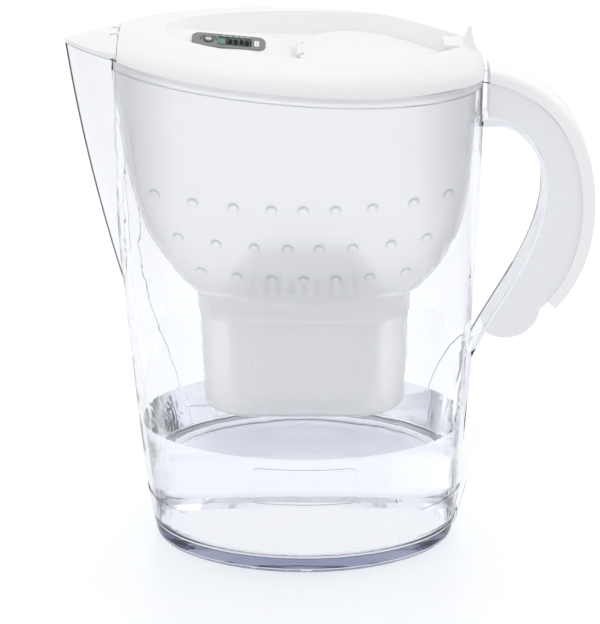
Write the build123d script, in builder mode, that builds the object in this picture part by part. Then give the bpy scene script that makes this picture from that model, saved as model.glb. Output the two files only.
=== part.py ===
from build123d import *

import os
from math import cos, radians, sin, sqrt

# Water filter pitcher, in millimetres. The origin is the middle of the underside, +Z is up,
# the spout points to -X and the handle to +X, so the flank that faces -Y carries the bare plate.

# Jug wall: plan is a half ellipse on each side of the widest line, flaring from base to rim
RIM_HEIGHT = 271.9
RIM_SLOPE = 0.0668
BASE_SPOUT_SIDE = 82.0
BASE_HANDLE_SIDE = 82.0
BASE_HALF_WIDTH = 60.6
RIM_SPOUT_SIDE = 107.5
RIM_HANDLE_SIDE = 94.8
RIM_HALF_WIDTH = 71.5
RIM_WIDEST_X = 3.2
SPOUT_SIDE_FLARE = 0.7
HANDLE_SIDE_FLARE = 0.4
HALF_WIDTH_FLARE = 0.83
JUG_WALL = 2.4
FLOOR_TOP = 7.0
FLOOR_CORNER = 6.0
BASE_EDGE = 2.5
FOOT_RING = 6.0
FOOT_GROOVE = 1.2
FOOT_GROOVE_WIDTH = 3.0
PANEL_RELIEF = 0.5
# Creases that bound the recessed ends: share of the rim height and distance in from the wall
SPOUT_CREASE_TOP = 0.901
SPOUT_CREASE = ((0.780, 8.4), (0.552, 7.3), (0.313, 18.3), (0.099, 22.7))
HANDLE_CREASE_TOP = 0.438
HANDLE_CREASE = ((0.110, 24.5), (0.257, 17.9), (0.335, 11.3))
PLATE_LENGTH = 57.0
PLATE_HEIGHT = 22.0
PLATE_MIDDLE_HEIGHT = 52.0
PLATE_CORNER = 4.0
PLATE_BORDER = 1.2

# Pouring spout
SPOUT_REACH = 126.1
SPOUT_HALF_WIDTH = 29.3
SPOUT_FOOT_HEIGHT = 147.0
SPOUT_BOW = 2.5
SPOUT_CROWN = 2.2
SPOUT_TIP_RADIUS = 3.0

# Handle
HANDLE_HALF_WIDTH = 12.5
HANDLE_FOOT_HALF_WIDTH = 7.0
HANDLE_TAPER_HEIGHT = 100.0
HANDLE_SIDE_WALL = 2.2
HANDLE_WEB = 2.3
HANDLE_FOOT_HEIGHT = 5.0
CHANNEL_FOOT_HEIGHT = 12.0
CAP_DEPTH = 7.0
CAP_OVERHANG = 0.6
CAP_EDGE = 3.0
CAP_START = 2.2
GRIP_GAP = 0.3

# Seat of the funnel in the rim of the jug
LIP_WALL = 1.2
FLANGE_HEIGHT = 5.5
SEAT_GAP = 0.25

# Funnel
FUNNEL_WALL = 2.0
FUNNEL_FLOOR = 2.0
BOWL_BOTTOM = RIM_HEIGHT - 129.9
BOWL_DEPTH = 123.0
GAP_AT_SPOUT_SIDE = 3.4
GAP_AT_HANDLE_SIDE = 0.6
GAP_AT_FLANK = 1.6
WELL_BOTTOM = RIM_HEIGHT - 194.9
WELL_SHOULDER = BOWL_BOTTOM - 9.0
WELL_TOP = BOWL_BOTTOM + 8.0
WELL_STEP = 0.6
WELL_LEDGE = 1.2
WELL_HALF_LENGTH = 54.5
WELL_HALF_WIDTH = 26.6
WELL_DRAFT = 0.038
WELL_EDGE = 4.0
OUTLET_RADIUS = 11.0
WELL_PANEL_DEPTH = 0.5
WELL_PANEL = ((31.5, 0.0), (30.6, 14.0), (27.2, 26.0), (20.0, 34.0))
DIMPLE_RADIUS = 3.0
DIMPLE_DEPTH = 0.6
DIMPLES = (
    (66.0, (-77.6, -57.4, -36.4, -16.9, -0.7, 15.8, 34.8, 56.0, 74.3)),
    (43.0, (-65.8, -45.7, -26.0, -8.6, 7.5, 24.9, 44.7, 63.5)),
    (23.0, (-54.1, -35.1, -17.0, -0.5, 16.2, 34.0, 53.1)),
)
SPREAD = (
    (0.00, 0.00, 0.00, 0.00),
    (0.05, 0.19, 0.23, 0.18),
    (0.15, 0.46, 0.52, 0.45),
    (0.30, 0.72, 0.80, 0.71),
    (0.50, 0.89, 0.94, 0.87),
    (0.75, 0.97, 0.98, 0.97),
    (1.18, 1.00, 1.00, 1.00),
)

# Filter cartridge
CUP_HALF_LENGTH = 42.3
CUP_HALF_WIDTH = 23.4
CUP_DRAFT = 0.05
CUP_LIFT = 3.6
CUP_EDGE = 5.0
CUP_WALL = 1.5
CAP_PLATE = 2.5
DOME_HALF_LENGTH = 41.0
DOME_HALF_WIDTH = 21.5
DOME_HEIGHT = 29.0
MESH_THICKNESS = 0.6
SEAT_CLEARANCE = 0.2

# Lid: a rounded roll rises from the rim to the crest around a recess
ROLL_HEIGHT = 12.75
CREST_SLOPE = 0.046
CREST_SPOUT_SIDE = 74.0
CREST_HANDLE_SIDE = 84.0
CREST_HALF_WIDTH = 49.0
CREST_WIDEST_X = 27.0
RIM_FULLNESS = (0.866, 0.5)
CREST_FULLNESS = (0.765, 0.355)
LID_OVERHANG = 0.3
LID_SKIN = 2.2
CREST_LAND = 0.8
RECESS_FLOOR = 2.0
RECESS_RUN = 7.0
LID_BASE = 2.0
SKIRT_DEPTH = 4.5
SKIRT_WALL = 1.6
SKIRT_GAP = 1.0
PART_GAP = 0.3

# Pod that carries the indicator: distance from the axis, half width and crown over the rim
POD = (
    (-76.0, 8.0, 8.6),
    (-60.0, 17.0, 10.4),
    (-40.0, 22.0, 10.2),
    (-22.0, 22.0, 9.4),
    (-12.0, 19.0, 6.6),
    (-6.0, 14.0, 2.6),
)

# Fill flap with its tongue over the roll and its thumb tab
FLAP_START_X = -4.0
FLAP_LEDGE = 3.0
FLAP_EDGE = 1.6
FLAP_SKIN = 1.8
PILLOW_HEIGHT = 3.6
PILLOW_RUN = 24.0
FLAP_BARREL = 1.5
FLAP_BARREL_HALF = 9.0
FLAP_PIN = 0.9
TONGUE_HALF_WIDTH = 9.0
TONGUE_START_X = 73.0
# Thumb tab, as distance from the axis and height over the rim: its scooped face towards the
# flap, its back down to the roll, the underside of its foot, and its half width by height
TAB_SCOOP = ((73.0, 5.6), (78.5, 8.6), (83.0, 14.5), (86.0, 23.2))
TAB_BACK = ((87.3, 23.2), (88.5, 17.0), (90.5, 9.6))
TAB_UNDERSIDE = ((85.0, 9.6), (79.5, 5.2), (73.0, 3.0))
TAB_TIP_X = 86.5
TAB_FLARE = ((1.8, 23.4), (3.3, 18.5), (6.3, 12.5), (9.0, 7.0))
TAB_EDGE = 0.6

# Spout cover: distance from the axis, half width, edge and crown over the rim
COVER = ((-127.0, 5.0, 1.2, 1.8), (-112.0, 18.0, 2.5, 5.5), (-97.0, 31.0, 3.5, 8.8))
COVER_SKIN = 2.0
SEAM_X = -96.7
COVER_PIVOT_X = -99.2
COVER_PIVOT_OVER = 6.6
COVER_BARREL = 1.3
COVER_BARREL_HALF = 5.0
COVER_KNUCKLE = 2.2
COVER_PIN = 0.8
PIN_LENGTH = 2.0
PIN_GAP = 0.08

# Filter-change indicator, set in the near flank of the pod
INDICATOR_X = -39.5
INDICATOR_Y = -9.6
INDICATOR_OVER = 9.1
INDICATOR_TILT = 17.5
INDICATOR_FALL = 5.3
FACE_LENGTH = 38.4
FACE_WIDTH = 12.0
FACE_CORNER = 4.2
FACE_THICKNESS = 1.2
FACE_BORDER = 0.8
CASE_DEPTH = 8.2
CASE_WALL = 0.8
BACK_THICKNESS = 0.8
SEAL_THICKNESS = 0.5
WINDOW_X = 3.3
WINDOW_LENGTH = 17.4
WINDOW_WIDTH = 8.0
BUTTON_X = -10.5
BUTTON_RADIUS = 2.75
BUTTON_PROUD = 0.3
BUTTON_TRAVEL = 0.6
LCD_THICKNESS = 1.1
STRIP_THICKNESS = 1.2
BOARD_THICKNESS = 0.8
CELL_RADIUS = 3.4
CELL_THICKNESS = 2.1
CONTACT_THICKNESS = 0.3
FIT_GAP = 0.1

os.makedirs("parts", exist_ok=True)


def rim_height_at(x):
    """Height of the sloping rim over a point on the jug's long axis."""
    return RIM_HEIGHT - RIM_SLOPE * x


def slanted(over, slope=RIM_SLOPE):
    """Plane a given height over the rim, parallel to it or with a slope of its own."""
    return Plane(origin=(0, 0, RIM_HEIGHT + over), x_dir=(1, 0, -slope), z_dir=(slope, 0, 1))


def egg(plane, spout_side, handle_side, half_width, widest_x):
    """Face whose outline is a half ellipse on each side of its widest line."""
    with BuildSketch(plane) as section:
        with BuildLine():
            EllipticalCenterArc(
                (widest_x, 0), spout_side + widest_x, half_width, 90, arc_size=180
            )
            EllipticalCenterArc(
                (widest_x, 0), handle_side - widest_x, half_width, 270, arc_size=180
            )
        make_face()
    return section.sketch


def stadium(height, half_length, half_width):
    """Oval with straight flanks and round ends."""
    with BuildSketch(Plane.XY.offset(height)) as section:
        SlotOverall(2 * half_length, 2 * half_width)
    return section.sketch


def flared(base, rim, power, height):
    """Half size of the jug at a height, between its base and rim sizes."""
    return base + (rim - base) * (height / RIM_HEIGHT) ** power


def spout_side(height):
    return flared(BASE_SPOUT_SIDE, RIM_SPOUT_SIDE, SPOUT_SIDE_FLARE, height)


def handle_side(height):
    return flared(BASE_HANDLE_SIDE, RIM_HANDLE_SIDE, HANDLE_SIDE_FLARE, height)


def half_width(height):
    return flared(BASE_HALF_WIDTH, RIM_HALF_WIDTH, HALF_WIDTH_FLARE, height)


def jug_section(height, inset=0.0):
    """Plan of the jug wall at a height, moved inwards by an inset."""
    return egg(
        Plane.XY.offset(height),
        spout_side(height) - inset,
        handle_side(height) - inset,
        half_width(height) - inset,
        RIM_WIDEST_X * height / RIM_HEIGHT,
    )


def jug_sections(lowest, inset=0.0):
    """Plans of the jug wall from a lowest height to a little over the rim."""
    return [jug_section(lowest, inset)] + [
        jug_section(share * RIM_HEIGHT, inset) for share in (0.1, 0.3, 0.6, 1.0, 1.1)
    ]


def rim_section(over, inset=0.0):
    """Plan of the rim on the plane a given height over it."""
    return egg(
        slanted(over),
        RIM_SPOUT_SIDE - inset,
        RIM_HANDLE_SIDE - inset,
        RIM_HALF_WIDTH - inset,
        RIM_WIDEST_X,
    )


def rim_x(y):
    """Where the outline of the rim on the spout side crosses a line at y."""
    reach = RIM_SPOUT_SIDE + RIM_WIDEST_X
    return RIM_WIDEST_X - reach * sqrt(1 - (y / RIM_HALF_WIDTH) ** 2)


def spout_tip_x(height):
    """Leading edge of the spout: a line from the wall to the tip, bowed forwards."""
    foot = spout_side(SPOUT_FOOT_HEIGHT)
    climb = rim_height_at(-SPOUT_REACH) - SPOUT_FOOT_HEIGHT
    share = (height - SPOUT_FOOT_HEIGHT) / climb
    return -(foot + (SPOUT_REACH - foot) * share + 4 * SPOUT_BOW * share * (1 - share))


def spout_section(height, inset=0.0):
    """V-shaped plan of the spout with bowed sides and a round tip, open into the jug."""
    root = rim_x(SPOUT_HALF_WIDTH) + SPOUT_REACH
    side = sqrt(root**2 + SPOUT_HALF_WIDTH**2)
    crest_x = root / 2 - SPOUT_CROWN * SPOUT_HALF_WIDTH / side
    crest_y = SPOUT_HALF_WIDTH / 2 + SPOUT_CROWN * root / side
    depth = root + SPOUT_HALF_WIDTH / 2
    with BuildSketch(Plane(origin=(spout_tip_x(height), 0, height))) as section:
        with BuildLine():
            ThreePointArc((root, SPOUT_HALF_WIDTH), (crest_x, crest_y), (0, 0))
            ThreePointArc((0, 0), (crest_x, -crest_y), (root, -SPOUT_HALF_WIDTH))
            Polyline(
                (root, -SPOUT_HALF_WIDTH),
                (depth, -SPOUT_HALF_WIDTH),
                (depth, SPOUT_HALF_WIDTH),
                (root, SPOUT_HALF_WIDTH),
            )
        make_face()
        fillet(section.vertices().sort_by(Axis.X)[0], radius=SPOUT_TIP_RADIUS)
        if inset:
            offset(amount=-inset, mode=Mode.REPLACE)
    return section.sketch


def spout_sections(inset=0.0):
    """Plans of the spout from inside the wall to a little over the rim."""
    climb = rim_height_at(-SPOUT_REACH) - SPOUT_FOOT_HEIGHT
    return [
        spout_section(SPOUT_FOOT_HEIGHT + share * climb, inset)
        for share in (-0.1, 0.25, 0.6, 0.9, 1.15)
    ]


# Clear handle: a channel open along its outer edge, whose web follows the inner edge
def handle_point(along, down):
    """Point of the handle's side view, measured from where the rim meets the handle."""
    return (RIM_HANDLE_SIDE + along, rim_height_at(RIM_HANDLE_SIDE) + down)


def wall_point(height):
    """Point inside the thickness of the jug wall, in the side view, under the handle."""
    return (handle_side(height) - JUG_WALL / 2, height)


def beside(curve, depth, until=1.0):
    """Curve that keeps a given distance to the right of another one."""
    points = []
    for share in (0, 0.15, 0.3, 0.45, 0.6, 0.75, 0.9, 1):
        heading = curve.tangent_at(share * until)
        points.append(
            curve.position_at(share * until) + Vector(heading.Y, -heading.X) * depth
        )
    return Spline(*points, mode=Mode.PRIVATE)


def tapered_slab(inset=0.0):
    """End view of the handle, narrower towards its foot, drawn through the whole length."""
    foot = HANDLE_FOOT_HALF_WIDTH - inset
    full = HANDLE_HALF_WIDTH - inset
    with BuildPart() as slab:
        with BuildSketch(Plane.YZ):
            with BuildLine():
                Polyline(
                    (-foot, 0),
                    (foot, 0),
                    (full, HANDLE_TAPER_HEIGHT),
                    (full, 1.1 * RIM_HEIGHT),
                    (-full, 1.1 * RIM_HEIGHT),
                    (-full, HANDLE_TAPER_HEIGHT),
                    close=True,
                )
            make_face()
        extrude(amount=2 * RIM_HANDLE_SIDE)
    return slab.part


back_edge = Spline(
    handle_point(-6.0, 4.1),
    handle_point(CAP_START, 3.0),
    handle_point(23.4, -4.0),
    handle_point(48.0, -27.0),
    handle_point(60.2, -72.0),
    handle_point(55.2, -107.0),
    handle_point(41.1, -130.8),
)
finger_edge = Spline(
    handle_point(-6.0, -27.5),
    handle_point(1.5, -28.0),
    handle_point(12.3, -28.6),
    handle_point(23.4, -36.9),
    handle_point(32.3, -61.9),
    handle_point(27.5, -91.9),
    handle_point(13.9, -120.9),
    handle_point(-6.0, -158.0),
)
seam_edge = beside(back_edge, CAP_DEPTH)
wall_edge = beside(back_edge, CAP_DEPTH + GRIP_GAP)
under_cap = beside(back_edge, CAP_DEPTH - 1)
web_edge = beside(finger_edge, -HANDLE_WEB)
over_web = beside(finger_edge, -HANDLE_WEB - GRIP_GAP, until=0.9)
fin_top = Vector(*handle_point(35.2, -137.8))
fin_foot = Vector(handle_side(HANDLE_FOOT_HEIGHT) - 0.6, HANDLE_FOOT_HEIGHT)
fin_run = fin_top - fin_foot

with BuildPart() as handle:
    with BuildSketch(Plane.XZ):
        with BuildLine():
            add(wall_edge)
            add(finger_edge)
            Line(wall_edge @ 1, fin_top)
            Spline(
                fin_top,
                fin_foot + Vector(0.555 * fin_run.X, 0.66 * fin_run.Y),
                fin_foot + Vector(0.225 * fin_run.X, 0.33 * fin_run.Y),
                fin_foot,
            )
            Polyline(
                fin_foot,
                wall_point(HANDLE_FOOT_HEIGHT),
                wall_point(HANDLE_TAPER_HEIGHT / 2),
                finger_edge @ 1,
            )
            Line(finger_edge @ 0, wall_edge @ 0)
        make_face()
    extrude(amount=HANDLE_HALF_WIDTH, both=True)
    add(tapered_slab(), mode=Mode.INTERSECT)

with BuildPart() as channel:
    with BuildSketch(Plane.XZ):
        with BuildLine():
            add(web_edge)
            Polyline(
                web_edge @ 1,
                wall_point(HANDLE_TAPER_HEIGHT / 2),
                wall_point(CHANNEL_FOOT_HEIGHT),
                (2 * RIM_HANDLE_SIDE, CHANNEL_FOOT_HEIGHT),
                (2 * RIM_HANDLE_SIDE, 1.1 * RIM_HEIGHT),
                ((web_edge @ 0).X, 1.1 * RIM_HEIGHT),
                web_edge @ 0,
            )
        make_face()
    extrude(amount=HANDLE_HALF_WIDTH, both=True)
    add(tapered_slab(HANDLE_SIDE_WALL), mode=Mode.INTERSECT)

# Ends of the jug wall that lie a little deeper than its broad flanks
spout_crease = [(-RIM_SPOUT_SIDE, SPOUT_CREASE_TOP * RIM_HEIGHT)] + [
    (depth - spout_side(share * RIM_HEIGHT), share * RIM_HEIGHT)
    for share, depth in SPOUT_CREASE
]
handle_crease = [
    (handle_side(share * RIM_HEIGHT) - depth, share * RIM_HEIGHT)
    for share, depth in HANDLE_CREASE
] + [(RIM_HANDLE_SIDE, HANDLE_CREASE_TOP * RIM_HEIGHT)]

with BuildPart() as end_relief:
    with BuildSketch(Plane.XZ):
        with BuildLine():
            Spline(*spout_crease)
            Polyline(
                spout_crease[-1],
                (-RIM_SPOUT_SIDE, spout_crease[-1][1]),
                spout_crease[0],
            )
        make_face()
        with BuildLine():
            Spline(*handle_crease)
            Polyline(
                handle_crease[-1],
                (RIM_HANDLE_SIDE, handle_crease[0][1]),
                handle_crease[0],
            )
        make_face()
    extrude(amount=RIM_HALF_WIDTH, both=True)
    loft(jug_sections(0, PANEL_RELIEF), mode=Mode.SUBTRACT)

with BuildPart() as plate_border:
    with BuildSketch(Plane.XZ):
        with Locations((0, PLATE_MIDDLE_HEIGHT)):
            RectangleRounded(PLATE_LENGTH, PLATE_HEIGHT, PLATE_CORNER)
            RectangleRounded(
                PLATE_LENGTH - 2 * PLATE_BORDER,
                PLATE_HEIGHT - 2 * PLATE_BORDER,
                PLATE_CORNER - PLATE_BORDER,
                mode=Mode.SUBTRACT,
            )
    extrude(amount=RIM_HALF_WIDTH)
    loft(jug_sections(0, -PANEL_RELIEF), mode=Mode.INTERSECT)

with BuildPart() as spout_bore:
    loft(spout_sections(JUG_WALL))

with BuildPart() as tank:
    loft(jug_sections(FLOOR_TOP, JUG_WALL))
    fillet(tank.edges().group_by(Axis.Z)[0], radius=FLOOR_CORNER)

with BuildPart() as jug:
    loft(jug_sections(0))
    fillet(jug.edges().group_by(Axis.Z)[0], radius=BASE_EDGE)
    add(end_relief.part, mode=Mode.SUBTRACT)
    loft(spout_sections())
    add(handle.part)
    add(plate_border.part)
    add(tank.part, mode=Mode.SUBTRACT)
    add(spout_bore.part, mode=Mode.SUBTRACT)
    add(channel.part, mode=Mode.SUBTRACT)
    extrude(
        rim_section(-FLANGE_HEIGHT, LIP_WALL),
        amount=2 * FLANGE_HEIGHT,
        dir=(0, 0, 1),
        mode=Mode.SUBTRACT,
    )
    split(bisect_by=slanted(0), keep=Keep.BOTTOM)
    extrude(jug_section(0, FOOT_RING), amount=FOOT_GROOVE, mode=Mode.SUBTRACT)
    extrude(jug_section(0, FOOT_RING + FOOT_GROOVE_WIDTH), amount=FOOT_GROOVE)
jug.part.label = "jug"
export_step(jug.part, "parts/jug.step")

# Grip: a cap along the outer edge of the handle and a core that fills its channel
with BuildPart() as grip:
    with BuildSketch(Plane.XZ):
        with BuildLine():
            add(back_edge)
            add(seam_edge)
            Line(back_edge @ 0, seam_edge @ 0)
            Line(back_edge @ 1, seam_edge @ 1)
        make_face()
    extrude(amount=HANDLE_HALF_WIDTH + CAP_OVERHANG, both=True)
    outer_face = grip.faces().sort_by(Axis.X)[-1]
    fillet(outer_face.edges().filter_by(GeomType.LINE, reverse=True), radius=CAP_EDGE)
    with BuildSketch(Plane.XZ):
        with BuildLine():
            add(under_cap)
            add(over_web)
            end_point = Vector(*handle_point(32.4, -131.3))
            Line(under_cap @ 1, end_point)
            ThreePointArc(end_point, handle_point(19.3, -147.0), over_web @ 1)
            Line(under_cap @ 0, over_web @ 0)
        make_face()
    extrude(amount=HANDLE_HALF_WIDTH - HANDLE_SIDE_WALL - GRIP_GAP, both=True)
    split(bisect_by=Plane.YZ.offset(RIM_HANDLE_SIDE + CAP_START), keep=Keep.TOP)
grip.part.label = "handle_grip"
export_step(grip.part, "parts/handle_grip.step")


# Funnel: a bowl over a long oval well, hung by its flange in the rim of the jug
def bowl_section(station, inset=0.0):
    """Plan of the bowl at one station of its spread from the well to the jug wall."""
    rise, to_spout, to_handle, to_flank = station
    height = BOWL_BOTTOM + rise * BOWL_DEPTH
    throat = WELL_DRAFT * (BOWL_BOTTOM - WELL_BOTTOM)
    throat_length = WELL_HALF_LENGTH + throat
    throat_width = WELL_HALF_WIDTH + throat
    to_wall = (
        spout_side(height) - JUG_WALL - GAP_AT_SPOUT_SIDE,
        handle_side(height) - JUG_WALL - GAP_AT_HANDLE_SIDE,
        half_width(height) - JUG_WALL - GAP_AT_FLANK,
    )
    return egg(
        Plane.XY.offset(height + inset),
        throat_length + (to_wall[0] - throat_length) * to_spout - inset,
        throat_length + (to_wall[1] - throat_length) * to_handle - inset,
        throat_width + (to_wall[2] - throat_width) * to_flank - inset,
        RIM_WIDEST_X * rise,
    )


def well_section(height, inset=0.0):
    """Plan of the well at a height, moved inwards by an inset."""
    draft = WELL_DRAFT * (height - WELL_BOTTOM) - inset
    return stadium(height, WELL_HALF_LENGTH + draft, WELL_HALF_WIDTH + draft)


with BuildPart() as bowl_space:
    loft([bowl_section(station, FUNNEL_WALL) for station in SPREAD[:4]])
    loft([bowl_section(station, FUNNEL_WALL) for station in SPREAD[3:]])

with BuildPart() as flange:
    extrude(
        rim_section(-FLANGE_HEIGHT, LIP_WALL + SEAT_GAP),
        amount=2 * FLANGE_HEIGHT,
        dir=(0, 0, 1),
    )
    add(spout_bore.part, mode=Mode.SUBTRACT)

# Shallow panels in the flanks of the well, open at the top to its shoulder
with BuildPart() as well_panels:
    with BuildSketch(Plane.XZ):
        with BuildLine():
            right = [(x, WELL_SHOULDER - drop) for x, drop in WELL_PANEL]
            left = [(-x, height) for x, height in right]
            Spline(*right)
            Spline(*left)
            Line(right[0], left[0])
            Line(right[-1], left[-1])
        make_face()
    extrude(amount=2 * WELL_HALF_WIDTH, both=True)
    loft(
        [well_section(WELL_BOTTOM, WELL_PANEL_DEPTH), well_section(WELL_TOP, WELL_PANEL_DEPTH)],
        mode=Mode.SUBTRACT,
    )

with BuildPart() as bowl:
    loft([bowl_section(station) for station in SPREAD[:4]])
    loft([bowl_section(station) for station in SPREAD[3:]])

# Round dimples in both flanks of the bowl
dimple_sphere = (DIMPLE_RADIUS**2 + DIMPLE_DEPTH**2) / (2 * DIMPLE_DEPTH)
dimple_middles = []
for over_bottom, row in DIMPLES:
    for x in row:
        ray = Axis((x, 0, BOWL_BOTTOM + over_bottom), (0, -1, 0))
        point, normal = min(bowl.part.find_intersection_points(ray), key=lambda hit: hit[0].Y)
        middle = point + normal * (dimple_sphere - DIMPLE_DEPTH)
        dimple_middles += [middle, Vector(middle.X, -middle.Y, middle.Z)]

with BuildPart() as funnel:
    add(bowl.part)
    add(flange.part)
    loft([well_section(WELL_BOTTOM), well_section(WELL_TOP)])
    fillet(funnel.edges().group_by(Axis.Z)[0], radius=WELL_EDGE)
    add(well_panels.part, mode=Mode.SUBTRACT)
    loft([well_section(WELL_SHOULDER, -WELL_STEP), well_section(WELL_TOP, -WELL_STEP)])
    add(bowl_space.part, mode=Mode.SUBTRACT)
    loft(
        [well_section(WELL_BOTTOM + FUNNEL_FLOOR, FUNNEL_WALL), well_section(WELL_TOP, FUNNEL_WALL)],
        mode=Mode.SUBTRACT,
    )
    loft(
        [
            well_section(WELL_SHOULDER, FUNNEL_WALL - WELL_LEDGE),
            well_section(WELL_TOP, FUNNEL_WALL - WELL_LEDGE),
        ],
        mode=Mode.SUBTRACT,
    )
    split(bisect_by=slanted(0), keep=Keep.BOTTOM)
    with Locations(*dimple_middles):
        Sphere(dimple_sphere, mode=Mode.SUBTRACT)
    with BuildSketch(Plane.XY.offset(WELL_BOTTOM)):
        Circle(OUTLET_RADIUS)
    extrude(amount=FUNNEL_FLOOR, mode=Mode.SUBTRACT)
funnel.part.label = "funnel"
export_step(funnel.part, "parts/funnel.step")

# Filter cartridge, hung by its flange on the shoulder of the well
CUP_BOTTOM = WELL_BOTTOM + FUNNEL_FLOOR + CUP_LIFT
CUP_TOP = WELL_SHOULDER
MEDIA_BOTTOM = CUP_BOTTOM + CUP_WALL + MESH_THICKNESS
MEDIA_TOP = CUP_TOP - MESH_THICKNESS - SEAT_CLEARANCE


def cup_section(height, inset=0.0):
    """Plan of the cartridge at a height, moved inwards by an inset."""
    draft = CUP_DRAFT * (height - CUP_TOP) - inset
    return stadium(height, CUP_HALF_LENGTH + draft, CUP_HALF_WIDTH + draft)


with BuildPart() as cup:
    loft([cup_section(CUP_BOTTOM), cup_section(CUP_TOP)])
    fillet(cup.edges().group_by(Axis.Z)[0], radius=CUP_EDGE)
    loft(
        [cup_section(CUP_BOTTOM + CUP_WALL, CUP_WALL), cup_section(CUP_TOP, CUP_WALL)],
        mode=Mode.SUBTRACT,
    )
    with BuildSketch(Plane.XY.offset(CUP_BOTTOM)):
        Circle(OUTLET_RADIUS - SEAT_GAP)
    extrude(amount=-CUP_LIFT - FUNNEL_FLOOR / 2)
    with BuildSketch(Plane.XY.offset(CUP_BOTTOM + CUP_WALL)):
        with PolarLocations(OUTLET_RADIUS / 2, 6):
            Circle(OUTLET_RADIUS / 7)
        Circle(OUTLET_RADIUS / 7)
    extrude(amount=-CUP_WALL - CUP_LIFT - FUNNEL_FLOOR, mode=Mode.SUBTRACT)
cup.part.label = "cartridge_cup"
export_step(cup.part, "parts/cartridge_cup.step")

with BuildPart() as outlet_mesh:
    extrude(
        cup_section(CUP_BOTTOM + CUP_WALL, CUP_WALL + SEAT_CLEARANCE), amount=MESH_THICKNESS
    )
outlet_mesh.part.label = "cartridge_outlet_mesh"
export_step(outlet_mesh.part, "parts/cartridge_outlet_mesh.step")

with BuildPart() as media:
    loft(
        [
            cup_section(MEDIA_BOTTOM, CUP_WALL + SEAT_CLEARANCE),
            cup_section(MEDIA_TOP, CUP_WALL + SEAT_CLEARANCE),
        ]
    )
media.part.label = "cartridge_media"
export_step(media.part, "parts/cartridge_media.step")

with BuildPart() as inlet_mesh:
    extrude(cup_section(MEDIA_TOP, CUP_WALL + SEAT_CLEARANCE), amount=MESH_THICKNESS)
inlet_mesh.part.label = "cartridge_inlet_mesh"
export_step(inlet_mesh.part, "parts/cartridge_inlet_mesh.step")


def dome_section(share, inset=0.0):
    """Plan of the cartridge's dome at a share of its height."""
    shrink = 1 - 0.08 * share - 0.34 * share**4
    with BuildSketch(Plane.XY.offset(CUP_TOP + CAP_PLATE + DOME_HEIGHT * share)) as section:
        Ellipse(DOME_HALF_LENGTH * shrink - inset, DOME_HALF_WIDTH * shrink - inset)
    return section.sketch


with BuildPart() as cap:
    extrude(
        well_section(CUP_TOP, FUNNEL_WALL - WELL_LEDGE + SEAT_GAP), amount=CAP_PLATE
    )
    loft([dome_section(share) for share in (0, 0.4, 0.75, 1)])
    fillet(cap.edges().group_by(Axis.Z)[-1], radius=CAP_PLATE)
    loft(
        [dome_section(share, CUP_WALL) for share in (0, 0.4, 0.75, 0.94)], mode=Mode.SUBTRACT
    )
    extrude(dome_section(0, CUP_WALL), amount=-CAP_PLATE, mode=Mode.SUBTRACT)
    with BuildSketch(Plane.XZ):
        with Locations((0, CUP_TOP + CAP_PLATE + 0.55 * DOME_HEIGHT)):
            with GridLocations(DOME_HALF_LENGTH / 6, 1, 9, 1):
                SlotOverall(DOME_HEIGHT / 3, CUP_WALL, rotation=90)
    extrude(amount=DOME_HALF_WIDTH, both=True, mode=Mode.SUBTRACT)
cap.part.label = "cartridge_cap"
export_step(cap.part, "parts/cartridge_cap.step")


# Lid outline: a half ellipse towards the spout, a fuller or more pointed end to the handle
def teardrop(plane, spout_side, handle_side, half_width, widest_x, fullness):
    """Face between a half ellipse and a curve through two widths of the handle end."""
    reach = handle_side - widest_x
    near = (widest_x + 0.5 * reach, fullness[0] * half_width)
    far = (widest_x + 0.866 * reach, fullness[1] * half_width)
    with BuildSketch(plane) as section:
        with BuildLine():
            EllipticalCenterArc(
                (widest_x, 0), spout_side + widest_x, half_width, 90, arc_size=180
            )
            for side in (1, -1):
                Spline(
                    (widest_x, side * half_width),
                    (near[0], side * near[1]),
                    (far[0], side * far[1]),
                    (handle_side, 0),
                    tangents=((1, 0), (0, -side)),
                )
        make_face()
    return section.sketch


def between(rim, crest, share):
    return rim + (crest - rim) * share


def roll_section(over, share, inset=0.0):
    """Lid outline partway from the rim, share 0, to the crest of the roll, share 1."""
    return teardrop(
        slanted(over, between(RIM_SLOPE, CREST_SLOPE, share)),
        between(RIM_SPOUT_SIDE + LID_OVERHANG, CREST_SPOUT_SIDE, share) - inset,
        between(RIM_HANDLE_SIDE + LID_OVERHANG, CREST_HANDLE_SIDE, share) - inset,
        between(RIM_HALF_WIDTH + LID_OVERHANG, CREST_HALF_WIDTH, share) - inset,
        between(RIM_WIDEST_X, CREST_WIDEST_X, share),
        [between(rim, crest, share) for rim, crest in zip(RIM_FULLNESS, CREST_FULLNESS)],
    )


def roll_sections(height, inset=0.0):
    """Outlines of the roll, whose profile is a quarter of an ellipse."""
    turns = [radians(angle) for angle in (0, 22, 45, 67, 90)]
    return [roll_section(height * sin(turn), 1 - cos(turn), inset) for turn in turns]


def recess_outline(over, inset, slope=RIM_SLOPE):
    """Outline of the recess, drawn inwards from the crest of the roll."""
    return teardrop(
        slanted(over, slope),
        CREST_SPOUT_SIDE - inset,
        CREST_HANDLE_SIDE - inset,
        CREST_HALF_WIDTH - inset,
        CREST_WIDEST_X,
        CREST_FULLNESS,
    )


def recess_sections(inset=0.0, drop=0.0):
    """Mouth, a little over the crest, and floor of the recess."""
    rise = 2.0
    draft = RECESS_RUN / (ROLL_HEIGHT - RECESS_FLOOR)
    return [
        recess_outline(ROLL_HEIGHT + rise, CREST_LAND - rise * draft + inset, CREST_SLOPE),
        recess_outline(RECESS_FLOOR - drop, CREST_LAND + RECESS_RUN + inset),
    ]


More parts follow.
